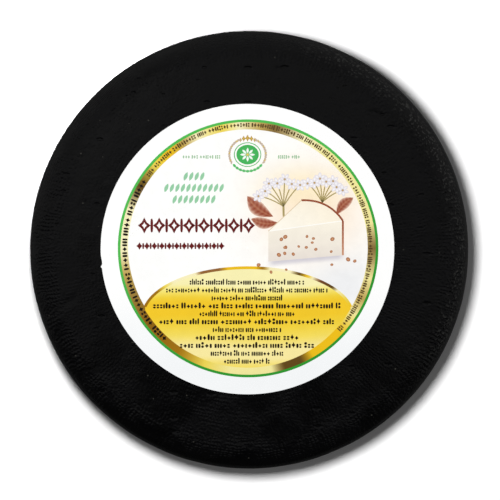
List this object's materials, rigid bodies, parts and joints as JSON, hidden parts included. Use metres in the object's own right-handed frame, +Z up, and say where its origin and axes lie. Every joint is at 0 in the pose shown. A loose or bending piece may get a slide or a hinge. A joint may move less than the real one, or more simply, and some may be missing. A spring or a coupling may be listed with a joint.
{
  "type": "aged goat cheese",
  "caption": "Whole round wheel of aged goat cheese in a black wax coat, lying flat, with a round printed paper label glued to its top.",
  "frame": {"origin": "on the surface the wheel lies on, under the middle of the wheel", "axes": "+Z up through the labelled top, +Y towards the top of the label's print, +X to its right"},
  "size_m": [0.1601, 0.1599, 0.0608],
  "materials": {
    "coat": "satin",
    "paper": "satin"
  },
  "bodies": {
    "root": {"cheese_wheel": "coat", "label": "paper"}
  },
  "joints": []
}
